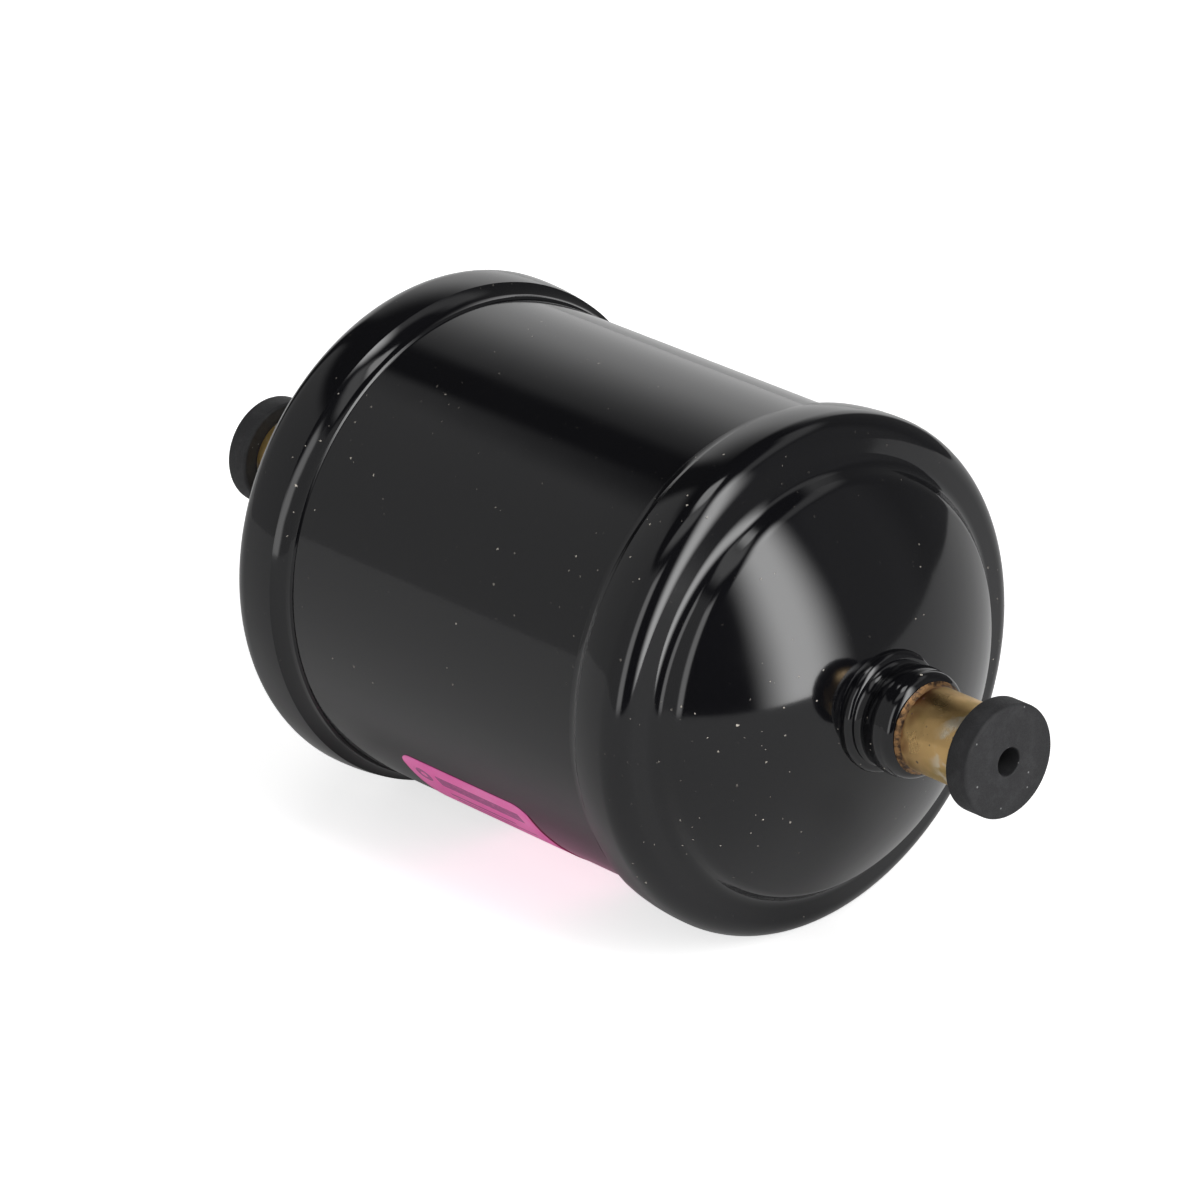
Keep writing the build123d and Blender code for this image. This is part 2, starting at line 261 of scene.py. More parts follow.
def new_group(name: str, kind: str, inputs: dict, output: str, output_kind: str) -> tuple:
    """Start a node group with named sockets.

    Args:
        name: the group's name.
        kind: Shader or Geometry.
        inputs: name of each input against its default, or against its kind where it has none.
        output: name of the output.
        output_kind: its kind.

    Returns:
        The tree, its Graph, the outputs of its input node, and its output node.
    """
    tree = bpy.data.node_groups.new(name, kind + "NodeTree")
    kinds = {int: "Int", float: "Float"}
    for label, value in inputs.items():
        socket_type = "NodeSocket" + kinds.get(type(value), str(value))
        socket = tree.interface.new_socket(label, in_out="INPUT", socket_type=socket_type)
        if type(value) in kinds:
            socket.default_value = value
    tree.interface.new_socket(output, in_out="OUTPUT", socket_type="NodeSocket" + output_kind)
    graph = Graph(tree)
    return tree, graph, graph.add("NodeGroupInput").outputs, graph.add("NodeGroupOutput")


def cleared(owner: bpy.types.ID) -> Graph:
    """The emptied node tree of a material or world.

    Args:
        owner: the material or world.

    Returns:
        Its Graph.
    """
    owner.use_nodes = True
    owner.node_tree.nodes.clear()
    return Graph(owner.node_tree)


def new_material(name: str) -> tuple:
    """Start a material.

    Args:
        name: its name.

    Returns:
        The material, its Graph, its Principled node and the Object coordinates.
    """
    material = bpy.data.materials.new(name)
    graph = cleared(material)
    shader = graph.add("ShaderNodeBsdfPrincipled")
    graph.add("ShaderNodeOutputMaterial", {"Surface": shader.outputs[0]})
    return material, graph, shader, graph.add("ShaderNodeTexCoord").outputs["Object"]


def new_object(name: str, data: bpy.types.ID) -> Piece:
    """Put a new object into the scene.

    Args:
        name: its name.
        data: its mesh or camera.

    Returns:
        The object.
    """
    thing = bpy.data.objects.new(name, data)
    bpy.context.scene.collection.objects.link(thing)
    return thing


def speck_group() -> Tree:
    """Specks of dust or grit: small round spots, a share of the cells of a grid.

    Returns:
        The group, which puts out Mask.
    """
    inputs = {"Vector": "Vector", "Cells": 500.0, "Share": 0.1, "Radius": 0.12}
    tree, graph, given, out = new_group("specks", "Shader", inputs, "Mask", "Float")
    cells = graph.add("ShaderNodeTexVoronoi", {"Vector": given["Vector"], "Scale": given["Cells"]}).outputs
    drawn = graph.add("ShaderNodeSeparateColor", {0: cells["Color"]}).outputs
    reach = graph.times(given["Radius"], graph.span(drawn[1], 0.0, 1.0, 0.45, 1.3))
    spot = graph.span(cells["Distance"], graph.times(reach, 0.6), reach, 1.0, 0.0)
    graph.wire(out, {"Mask": graph.times(spot, graph.math("LESS_THAN", drawn[0], given["Share"]))})
    return tree


def scratch_group() -> Tree:
    """Short straight hairlines that run one way, a share of the cells of a drawn-out grid.

    Returns:
        The group, which puts out Mask.
    """
    inputs = {"Vector": "Vector", "Turn": 0.0, "Length": 0.01, "Width": 0.04, "Share": 0.1}
    tree, graph, given, out = new_group("hairlines", "Shader", inputs, "Mask", "Float")
    axis, slimness = (0.3, 0.5, 0.8), 14.0
    values = {"Vector": given["Vector"], "Angle": given["Turn"], "Axis": axis}
    turned = graph.add("ShaderNodeVectorRotate", values, rotation_type="AXIS_ANGLE").outputs[0]
    long = graph.math("DIVIDE", 1.0, given["Length"])
    fine = graph.times(long, slimness)
    grid = graph.vector("MULTIPLY", turned, graph.join(long, fine, fine))
    cells = graph.add("ShaderNodeTexVoronoi", {"Vector": grid, "Scale": 1.0}).outputs
    drawn = graph.add("ShaderNodeSeparateColor", {0: cells["Color"]}).outputs
    line = graph.span(cells["Distance"], 0.0, given["Width"], 1.0, 0.0)
    graph.wire(out, {"Mask": graph.times(line, graph.math("LESS_THAN", drawn[0], given["Share"]))})
    return tree


@dataclass(frozen=True)
class Patterns:
    """Shader effects that several finishes share."""

    specks: Tree = field(default_factory=speck_group)
    hairlines: Tree = field(default_factory=scratch_group)


# ---- finishes


@dataclass(frozen=True)
class Enamel:
    """Glossy black dip coating with a faint peel, dust and handling marks."""

    colour: tuple = (0.0042, 0.0042, 0.0052, 1.0)
    dust: tuple = (0.5, 0.46, 0.4, 1.0)
    grains: tuple = ((430.0, 0.6, 0.075), (900.0, 0.25, 0.11))  # cells in a metre, share of them, radius
    tear: float = 0.35  # how far a speck's rim strays, in millimetres
    strokes: tuple = ((0.9, 14.0, 0.09, 0.03), (-0.5, 9.0, 0.08, 0.025))  # turn, millimetres, width, share
    worn: float = 0.1  # how much a stroke takes of the dust's colour
    gloss: float = 0.075
    haze: float = 0.035  # roughness that handling adds
    peel: float = 0.012  # height in millimetres
    index: float = 1.5

    def build(self, patterns: Patterns) -> Material:
        """Make the coating.

        Args:
            patterns: the shared effects.

        Returns:
            The material.
        """
        material, graph, shader, place = new_material("black_enamel")
        ragged = graph.add("ShaderNodeTexNoise", {"Vector": place, "Scale": 4000.0, "Detail": 1.0}).outputs[1]
        stray = graph.scaled(graph.vector("SUBTRACT", ragged, (0.5, 0.5, 0.5)), self.tear * MM)
        torn = graph.vector("ADD", place, stray)
        specks = graph.fold("MAXIMUM", [
            graph.pattern(patterns.specks, Vector=torn, Cells=cells, Share=share, Radius=radius)
            for cells, share, radius in self.grains])
        specks = graph.times(specks, graph.span(graph.noise(place, 18.0, 2.0), 0.48, 0.66, 0.04, 1.0))
        marks = graph.fold("MAXIMUM", [
            graph.pattern(patterns.hairlines, Vector=place, Turn=turn, Length=long * MM, Width=wide,
                          Share=part) for turn, long, wide, part in self.strokes])
        worn = graph.mix(graph.times(marks, self.worn), self.colour, self.dust)
        haze = graph.span(graph.noise(place, 14.0, 3.0, 0.6), 0.35, 0.75, self.gloss, self.gloss + self.haze)
        ripple = graph.times(graph.noise(place, 1.1, 2.0), 0.05)
        height = graph.fold("ADD", [graph.noise(place, 9.0, 1.0), ripple, graph.times(specks, 1.2)])
        graph.wire(shader, {
            "Base Color": graph.mix(specks, worn, self.dust),
            "Roughness": graph.fold("ADD", [haze, graph.times(specks, 0.4), graph.times(marks, 0.08)]),
            "Normal": graph.bump(height, self.peel), "IOR": self.index})
        return material


@dataclass(frozen=True)
class Copper:
    """Bare copper tube, tinted by the torch and spotted with flux and tarnish."""

    gold: tuple = (0.74, 0.49, 0.21, 1.0)
    brown: tuple = (0.23, 0.075, 0.028, 1.0)
    olive: tuple = (0.42, 0.3, 0.1, 1.0)
    pale: tuple = (0.78, 0.72, 0.58, 1.0)
    spot: tuple = (0.045, 0.02, 0.022, 1.0)
    root: float = 57.7  # where the collar's nose stands, in millimetres from the middle
    end: float = 68.2  # where the tube ends
    stray: float = 4.0  # how far the tints' edges wander, in millimetres
    blush: tuple = (1.0, 3.6, 0.7, 0.0)  # from and to beyond the root, and how brown it is there
    singe: tuple = (0.3, 1.3, 0.8, 0.0)  # the same, close to the root
    smear: tuple = (-5.0, -2.6, 0.0, 0.75)  # from and to before the end, and how pale it is there
    dots: tuple = (560.0, 0.22, 0.13)  # cells in a metre, share of them, radius
    grit: tuple = (1500.0, 0.2, 0.2)

    def build(self, patterns: Patterns) -> Material:
        """Make the tarnished copper.

        Args:
            patterns: the shared effects.

        Returns:
            The material.
        """
        material, graph, shader, place = new_material("tinted_copper")
        wander = graph.times(graph.minus(graph.noise(place, 4.0, 2.0), 0.5), self.stray * MM)
        lie = graph.plus(graph.math("ABSOLUTE", graph.axes(place)[0]), wander)
        clouds = graph.noise(place, 6.5, 3.0, 0.5)
        base = graph.mix(graph.span(clouds, 0.44, 0.66, 0.0, 0.75), self.gold, self.olive)
        patches = (
            (self.root, self.blush, self.brown, graph.span(graph.noise(place, 5.0, 2.0), 0.46, 0.62)),
            (self.root, self.singe, self.brown, 1.0),
            (self.end, self.smear, self.pale, graph.span(graph.noise(place, 4.2, 3.0, 0.55), 0.5, 0.6)),
        )
        for start, (low, high, first, last), colour, share in patches:
            zone = graph.span(lie, (start + low) * MM, (start + high) * MM, first, last)
            base = graph.mix(graph.times(zone, share), base, colour)
        dots, grit = (graph.pattern(patterns.specks, Vector=place, Cells=cells, Share=share, Radius=radius)
                      for cells, share, radius in (self.dots, self.grit))
        stains = graph.math("MAXIMUM", dots, graph.times(grit, 0.7))
        height = graph.plus(graph.noise(place, 0.5, 3.0), graph.times(stains, 0.5))
        graph.wire(shader, {
            "Base Color": graph.mix(graph.times(stains, 0.85), base, self.spot),
            "Roughness": graph.span(clouds, 0.3, 0.7, 0.26, 0.46),
            "Metallic": graph.minus(1.0, graph.times(stains, 0.75)),
            "Normal": graph.bump(height, 0.02, 0.7)})
        return material


@dataclass(frozen=True)
class Rubber:
    """Matt moulded rubber, chalky in patches and specked with lint."""

    colour: tuple = (0.0165, 0.0165, 0.018, 1.0)
    chalk: tuple = (0.05, 0.05, 0.053, 1.0)
    lint: tuple = (0.28, 0.28, 0.28, 1.0)
    index: float = 1.45

    def build(self, patterns: Patterns) -> Material:
        """Make the rubber.

        Args:
            patterns: the shared effects.

        Returns:
            The material.
        """
        material, graph, shader, place = new_material("stopper_rubber")
        bloom = graph.span(graph.noise(place, 2.4, 4.0, 0.65), 0.42, 0.72, 0.0, 0.35)
        base = graph.mix(bloom, self.colour, self.chalk)
        lint = graph.pattern(patterns.specks, Vector=place, Cells=1100.0, Share=0.05, Radius=0.16)
        grain = graph.noise(place, 0.16, 3.0, 0.7)
        graph.wire(shader, {
            "Base Color": graph.mix(graph.times(lint, 0.8), base, self.lint),
            "Roughness": graph.span(grain, 0.3, 0.7, 0.56, 0.74),
            "Normal": graph.bump(grain, 0.03, 0.8), "IOR": self.index})
        return material


@dataclass(frozen=True)
class Film:
    """Pink label film with plain printed bars, a ring and an arrow, no lettering, a painted glow and a
    painted shadow along its side edges.
    """

    pink: tuple = (0.905, 0.155, 0.475, 1.0)
    worn: tuple = (0.95, 0.24, 0.55, 1.0)
    ink: tuple = (0.30, 0.07, 0.20, 1.0)
    # colour of the painted shadow along the film's side edges
    edge: tuple = (0.3, 0.02, 0.06, 1.0)
    bars: tuple = (  # centre along, centre down from the top edge, half length, half height, in millimetres
        (1.6, 3.6, 8.2, 1.15), (-0.4, 7.2, 6.4, 0.32), (1.2, 8.6, 7.9, 0.32), (-1.2, 10.0, 5.6, 0.32),
        (0.0, 14.0, 9.4, 0.7), (-3.0, 16.6, 6.2, 0.3), (-2.4, 18.0, 6.8, 0.3), (-3.6, 19.4, 5.6, 0.3),
        (4.0, 26.0, 5.0, 0.45), (0.0, 40.5, 9.4, 0.3), (-1.0, 42.0, 8.4, 0.3), (-2.0, 43.5, 7.4, 0.3),
    )
    ring: tuple = (-9.4, 3.6, 1.0, 0.42)  # centre, radius and half width
    arrow: tuple = (26.0, 8.6, 11.6, 1.3)  # its head: down from the top edge, back, tip and taper
    half_width: float = 12.5
    rim: tuple = (0.28, 0.05, 0.8)  # painted shadow of the film's lifted side edges: from and to inside those edges, and how dark
    glow: float = 0.12  # painted glow: the film emits its own colour, so it shows brighter than its light makes it

    def print(self, graph: Graph, across: Socket, down: Socket) -> Socket:
        """The printed bars, ring and arrow.

        Args:
            graph: the material's graph.
            across: millimetres along the drier from the label's middle.
            down: millimetres down from its top edge.

        Returns:
            1 on the print, 0 beside it.
        """
        marks = [graph.times(graph.within(across, centre, half), graph.within(down, depth, high))
                 for centre, depth, half, high in self.bars]
        centre, depth, radius, half = self.ring
        legs = [graph.minus(across, centre), graph.minus(down, depth)]
        reach = graph.math("SQRT", graph.fold("ADD", [graph.times(leg, leg) for leg in legs]))
        marks.append(graph.within(reach, radius, half))
        depth, back, tip, taper = self.arrow
        height = graph.math("ABSOLUTE", graph.minus(down, depth))
        ahead = graph.math("GREATER_THAN", graph.minus(tip, across), graph.times(height, taper))
        marks.append(graph.times(ahead, graph.math("GREATER_THAN", across, back)))
        return graph.fold("MAXIMUM", marks)

    def build(self) -> Material:
        """Make the printed film.

        Returns:
            The material.
        """
        material, graph, shader, place = new_material("label_film")
        lie = graph.axes(graph.add("ShaderNodeUVMap", uv_map="film").outputs[0])
        across, down = (graph.times(lie[axis], UV_SPAN) for axis in (0, 1))
        fade = graph.span(graph.noise(place, 0.6, 3.0, 0.7), 0.3, 0.55, 0.55, 0.9)
        base = graph.mix(graph.span(graph.noise(place, 6.0, 3.0, 0.6), 0.4, 0.75), self.pink, self.worn)
        base = graph.mix(graph.times(self.print(graph, across, down), fade), base, self.ink)
        # painted shadow: darkens the film towards its side edges
        start, stop, dark = self.rim
        off, half = graph.math("ABSOLUTE", across), self.half_width
        base = graph.mix(graph.span(off, half - start, half - stop, 0.0, dark), base, self.edge)
        fibres = graph.noise(place, 0.35, 3.0, 0.6)
        # painted glow: the film's own emission brightens it beyond what the studio lights give
        graph.wire(shader, {
            "Base Color": base, "Emission Color": base, "Emission Strength": self.glow,
            "Roughness": graph.span(fibres, 0.3, 0.7, 0.32, 0.45), "Normal": graph.bump(fibres, 0.02, 0.5)})
        return material


@dataclass(frozen=True)
class Grained:
    """A finish of two colours, whose roughness and relief follow one grain."""

    name: str
    low: tuple  # colour where the tone is low
    high: tuple  # colour where it is high
    tones: tuple  # tones at which these two colours are full
    sheen: tuple  # two values of the grain and the roughness at each
    relief: tuple  # height in millimetres and strength
    constants: tuple  # other inputs of the shader with their values

    def grain(self, graph: Graph, place: Socket) -> tuple:
        """The tone that the colours follow and the grain."""
        raise NotImplementedError

    def build(self) -> Material:
        """Make the material.

        Returns:
            The material.
        """
        material, graph, shader, place = new_material(self.name)
        tone, grain = self.grain(graph, place)
        graph.wire(shader, {
            "Base Color": graph.mix(graph.span(tone, *self.tones), self.low, self.high),
            "Roughness": graph.span(grain, *self.sheen),
            "Normal": graph.bump(grain, *self.relief), **dict(self.constants)})
        return material


@dataclass(frozen=True)
class Braze(Grained):
    """Dull filler metal with flux residue."""

    name: str = "braze_filler"
    low: tuple = (0.05, 0.03, 0.02, 1.0)
    high: tuple = (0.3, 0.17, 0.075, 1.0)
    tones: tuple = (0.4, 0.6)
    sheen: tuple = (0.3, 0.7, 0.35, 0.6)
    relief: tuple = (0.06, 1.0)
    constants: tuple = (("Metallic", 0.8),)

    def grain(self, graph: Graph, place: Socket) -> tuple:
        """Small clouds."""
        return (graph.noise(place, 0.9, 3.0, 0.6),) * 2


@dataclass(frozen=True)
class PressedSteel(Grained):
    """Plain drawn steel of the pieces inside, oily, with fine draw lines."""

    name: str = "pressed_steel"
    low: tuple = (0.58, 0.57, 0.55, 1.0)
    high: tuple = (0.36, 0.35, 0.33, 1.0)
    tones: tuple = (0.35, 0.7)
    sheen: tuple = (0.3, 0.7, 0.24, 0.42)
    relief: tuple = (0.02, 0.4)
    constants: tuple = (("Metallic", 1.0),)
    stretch: tuple = (3000.0, 90.0, 90.0)  # grains in a metre along each axis

    def grain(self, graph: Graph, place: Socket) -> tuple:
        """Oil stains and draw lines."""
        drawn = {"Vector": graph.vector("MULTIPLY", place, self.stretch), "Scale": 1.0, "Detail": 3.0}
        return graph.noise(place, 6.0, 3.0, 0.6), graph.add("ShaderNodeTexNoise", drawn).outputs[0]


@dataclass(frozen=True)
class SpringWire(PressedSteel):
    """Darker drawn wire of the spring."""

    name: str = "spring_wire"
    low: tuple = (0.42, 0.42, 0.43, 1.0)
    high: tuple = (0.24, 0.24, 0.25, 1.0)
    stretch: tuple = (500.0, 500.0, 500.0)


@dataclass(frozen=True)
class WireCloth(Grained):
    """Fine woven wire of the strainer, with painted shade in the holes of the weave."""

    name: str = "wire_cloth"
    # painted shade: near-black in the holes of the weave, darkening towards them
    low: tuple = (0.05, 0.05, 0.05, 1.0)
    high: tuple = (0.66, 0.64, 0.58, 1.0)
    tones: tuple = (0.55, 0.8)
    sheen: tuple = (0.4, 1.0, 0.7, 0.3)
    relief: tuple = (0.1, 1.0)
    constants: tuple = (("Metallic", 1.0),)
    pitch: float = 0.5  # millimetres

    def grain(self, graph: Graph, place: Socket) -> tuple:
        """Crossing waves.

        Args:
            graph: the material's graph.
            place: Object coordinates.

        Returns:
            The weave, twice.
        """
        axes = graph.axes(place)
        waves = [graph.math("SINE", graph.times(axes[axis], math.pi / (self.pitch * MM))) for axis in (1, 2)]
        return (graph.fold("MAXIMUM", [graph.math("ABSOLUTE", wave) for wave in waves]),) * 2


@dataclass(frozen=True)
class Felt(Grained):
    """White needled felt of the pads."""

    name: str = "needled_felt"
    low: tuple = (0.58, 0.56, 0.5, 1.0)
    high: tuple = (0.82, 0.81, 0.76, 1.0)
    tones: tuple = (0.35, 0.6)
    sheen: tuple = (0.2, 0.8, 0.85, 1.0)
    relief: tuple = (0.2, 1.0)
    constants: tuple = (("Sheen Weight", 0.3),)

    def grain(self, graph: Graph, place: Socket) -> tuple:
        """Twisted hair."""
        return (graph.noise(place, 0.5, 5.0, 0.7, 1.5),) * 2


@dataclass(frozen=True)
class Desiccant(Grained):
    """Moulded core of bonded beads and binder."""

    name: str = "bonded_desiccant"
    low: tuple = (0.74, 0.67, 0.55, 1.0)
    high: tuple = (0.5, 0.44, 0.35, 1.0)
    tones: tuple = (0.2, 0.65)
    sheen: tuple = (0.0, 1.0, 0.95, 0.8)
    relief: tuple = (0.25, 1.0)
    constants: tuple = ()
    beads: float = 900.0  # beads in a metre

    def grain(self, graph: Graph, place: Socket) -> tuple:
        """Distance from the beads' middles and the beads."""
        reach = graph.add("ShaderNodeTexVoronoi", {"Vector": place, "Scale": self.beads}).outputs["Distance"]
        return reach, graph.minus(1.0, graph.span(reach, *self.tones))


@dataclass(frozen=True)
class Finishes:
    """Every material of the drier."""

    enamel: Material
    copper: Material
    rubber: Material
    film: Material
    braze: Material
    steel: Material
    spring: Material
    cloth: Material
    felt: Material
    desiccant: Material


def all_finishes() -> Finishes:
    """Build every material once.

    Returns:
        The materials.
    """
    patterns = Patterns()
    specked = [finish().build(patterns) for finish in (Enamel, Copper, Rubber)]
    kinds = (Film, Braze, PressedSteel, SpringWire, WireCloth, Felt, Desiccant)
    return Finishes(*specked, *(finish().build() for finish in kinds))


# ---- sections and turning


def polar(centre: tuple, radius: float, turn: float) -> tuple[float, float]:
    """The point of a circle at an angle in radians."""
    return centre[0] + radius * math.cos(turn), centre[1] + radius * math.sin(turn)


class Section:
    """The outline of a turned piece, as points (along the axis, radius) in millimetres."""

    def __init__(self) -> None:
        """Start with no points."""
        self.points: list[tuple[float, float]] = []

    def run(self, *points: tuple) -> "Section":
        """Add straight runs to these points."""
        self.points += [tuple(point) for point in points]
        return self

    def divided(self, end: tuple, steps: int) -> "Section":
        """Add a straight run in even steps.

        Args:
            end: where it ends.
            steps: how many steps.

        Returns:
            This section.
        """
        start = Vector(self.points[-1])
        self.points += [tuple(start.lerp(Vector(end), step / steps)) for step in range(1, steps + 1)]
        return self

    def arc(self, centre: tuple, radius: float, start: float, end: float, steps: int) -> "Section":
        """Add an arc.

        Args:
            centre: its centre.
            radius: its radius.
            start: its first angle in radians, from the axis towards the outside.
            end: its last angle.
            steps: how many steps.

        Returns:
            This section.
        """
        turns = (start + (end - start) * step / steps for step in range(steps + 1))
        self.points += [polar(centre, radius, turn) for turn in turns]
        return self

    def bow(self, end: tuple, radius: float, steps: int) -> "Section":
        """Add a shallow arc to a point, hollow for a positive radius and full for a negative one.

        Args:
            end: where it ends.
            radius: its signed radius.
            steps: how many steps.

        Returns:
            This section.
        """
        start, stop = Vector(self.points[-1]), Vector(end)
        chord = stop - start
        normal = Vector((-chord.y, chord.x)).normalized() * math.copysign(1.0, radius)
        centre = (start + stop) / 2 + normal * math.sqrt(radius**2 - chord.length_squared / 4)
        first = math.atan2(start.y - centre.y, start.x - centre.x)
        last = math.atan2(stop.y - centre.y, stop.x - centre.x)
        turn = (last - first + math.pi) % math.tau - math.pi
        turns = (first + turn * step / steps for step in range(1, steps + 1))
        self.points += [polar(centre, abs(radius), angle) for angle in turns]
        return self

    def rounded(self, corners: list, steps: int = 6) -> "Section":
        """Add a run whose inner corners are rounded.

        Args:
            corners: (along, radius, rounding) of each corner.
            steps: steps of each rounding.

        Returns:
            This section.
        """
        for index, (x, y, rounding) in enumerate(corners):
            if not rounding or index in (0, len(corners) - 1):
                self.points.append((x, y))
                continue
            corner = Vector((x, y))
            back = (Vector(corners[index - 1][:2]) - corner).normalized()
            ahead = (Vector(corners[index + 1][:2]) - corner).normalized()
            half = back.angle(ahead) / 2
            centre = corner + (back + ahead).normalized() * (rounding / math.sin(half))
            first = corner + back * (rounding / math.tan(half)) - centre
            last = corner + ahead * (rounding / math.tan(half)) - centre
            turn = first.angle_signed(last)
            for step in range(steps + 1):
                self.points.append(tuple(centre + first @ Matrix.Rotation(turn * step / steps, 2)))
        return self


def lathe_tree() -> Tree:
    """The tree that turns a section about X, with a slight unevenness of the surface.

    Returns:
        The tree.
    """
    inputs = {"Section": "Geometry", "Segments": 192, "Unevenness": 0.0, "Patch Size": 0.01, "Seed": 1,
              "Sharp Angle": 0.6, "Finish": "Material"}
    tree, graph, given, out = new_group("turned_piece", "Geometry", inputs, "Piece", "Geometry")
    tree.is_modifier = True
    count = graph.add("GeometryNodeAttributeDomainSize", {"Geometry": given["Section"]},
                      component="MESH").outputs["Point Count"]
    around = graph.plus(given["Segments"], 1.0)
    grid = graph.add("GeometryNodeMeshGrid", {
        "Size X": 1.0, "Size Y": 1.0, "Vertices X": graph.plus(count, 1.0), "Vertices Y": around})
    index = graph.add("GeometryNodeInputIndex").outputs[0]
    column = graph.math("FLOOR", graph.math("DIVIDE", graph.plus(index, 0.5), around))
    row = graph.minus(index, graph.times(column, around))
    sample = graph.add("GeometryNodeSampleIndex",
                       {"Geometry": given["Section"], "Index": graph.math("FLOORED_MODULO", column, count)},
                       data_type="FLOAT_VECTOR", domain="POINT")
    graph.wire(sample, {"Value": graph.add("GeometryNodeInputPosition").outputs[0]})
    point = graph.axes(sample.outputs[0])
    closed_row = graph.math("FLOORED_MODULO", row, given["Segments"])
    turn = graph.times(graph.math("DIVIDE", closed_row, given["Segments"]), math.tau)
    radial = graph.join(0.0, graph.math("COSINE", turn), graph.math("SINE", turn))
    spot = graph.vector("ADD", graph.scaled(radial, point[1]), graph.join(point[0]))
    patches = graph.add("ShaderNodeTexNoise", {
        "Vector": graph.vector("ADD", spot, graph.join(given["Seed"], given["Seed"])),
        "Scale": graph.math("DIVIDE", 1.0, given["Patch Size"]), "Detail": 2.0, "Roughness": 0.45}).outputs[0]
    lift = graph.times(graph.minus(patches, 0.5), given["Unevenness"])
    held = graph.times(lift, graph.span(point[1], 0.0, 1.0 * MM, 0.0, 1.0))
    bend = graph.add("GeometryNodeInputMeshEdgeAngle").outputs["Unsigned Angle"]
    soft = graph.math("LESS_THAN", bend, given["Sharp Angle"])
    piece = graph.shape("SetPosition", grid.outputs[0],
                        {"Position": graph.vector("ADD", spot, graph.scaled(radial, held))})
    piece = graph.shape("MergeByDistance", piece, {"Distance": MERGE})
    piece = graph.shape("SetShadeSmooth", piece, {"Shade Smooth": True}, domain="FACE")
    piece = graph.shape("SetShadeSmooth", piece, {"Shade Smooth": soft}, domain="EDGE")
    piece = graph.shape("RealizeInstances", piece)
    graph.wire(out, {"Piece": graph.shape("SetMaterial", piece, {"Material": given["Finish"]})})
    return tree


@dataclass(frozen=True)
class Turning:
    """How a section is turned into a piece."""

    segments: int
    unevenness: float  # millimetres
    patch: float  # size of the uneven patches, in millimetres
    seed: int
    sharp: float = 0.6  # edges that bend more than this, in radians, stay sharp


class Lathe:
    """Turns sections about X and hands back finished pieces."""

    def __init__(self) -> None:
        """Build the tree once."""
        self.tree = lathe_tree()
        self.inputs = {item.name: item.identifier for item in self.tree.interface.items_tree
                       if item.item_type == "SOCKET" and item.in_out == "INPUT"}

    def turn(self, name: str, section: Section, side: float, finish: Material,
             how: Turning) -> Piece:
        """Turn one piece.

        Args:
            name: the piece's name.
            section: its closed outline at +X.
            side: 1 for the outlet's side, -1 for its twin at the inlet.
            finish: its material.
            how: segments and unevenness.

        Returns:
            The piece as a plain mesh.
        """
        points = [(side * x * MM, r * MM, 0.0) for x, r in section.points]
        mesh = bpy.data.meshes.new(name)
        mesh.from_pydata(points, [(i, i + 1) for i in range(len(points) - 1)], [])
        piece = new_object(name, mesh)
        modifier = piece.modifiers.new("turned", "NODES")
        modifier.node_group = self.tree
        for label, value in (("Segments", how.segments), ("Unevenness", how.unevenness * MM),
                             ("Patch Size", how.patch * MM), ("Seed", how.seed), ("Sharp Angle", how.sharp),
                             ("Finish", finish)):
            modifier[self.inputs[label]] = value
        return plain(piece)


def plain(piece: Piece) -> Piece:
    """Bake a piece's modifiers into a plain mesh whose faces point outwards.

    Args:
        piece: an object with live modifiers.

    Returns:
        The same object with its baked mesh.
    """
    graph = bpy.context.evaluated_depsgraph_get()
    baked = bpy.data.meshes.new_from_object(piece.evaluated_get(graph))
    piece.modifiers.clear()
    piece.data = baked
    baked.name = piece.name
    baked.calc_loop_triangles()
    corners = ([baked.vertices[index].co for index in face.vertices] for face in baked.loop_triangles)
    volume = sum(one.dot(two.cross(three)) for one, two, three in corners)
    if volume < 0:
        baked.flip_normals()
    return piece


def settle(piece: Piece, body: str, node: str) -> None:
    """Ride a piece on its body and hide the CAD node that it replaces.

    Args:
        piece: the finished piece.
        body: the CAD body that carries it.
        node: the CAD node it replaces.
    """
    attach(piece, body)
    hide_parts(node)
    LOG.info("%s: %d faces on %s", piece.name, len(piece.data.polygons), body)


# ---- the drier's own pieces


def nested(point: tuple, lean: float, circle: tuple, radius: float, roll: float, side: float) -> Vector:
    """Centre of a roll that touches a straight line and, from inside, a circle.

    Args:
        point: a point of the line.
        lean: angle of the line's outward normal from the axis.
        circle: centre of the circle.
        radius: its radius.
        roll: radius of the roll.
        side: 1 for the solution further out, -1 for the one nearer the axis.

    Returns:
        The centre.
    """
    normal, along = Vector((math.cos(lean), math.sin(lean))), Vector((-math.sin(lean), math.cos(lean)))
    base = Vector(point) - normal * roll - Vector(circle)
    half = base.dot(along)
    return Vector(circle) + base + along * (
        side * math.sqrt(half**2 - base.length_squared + (radius - roll) ** 2) - half)


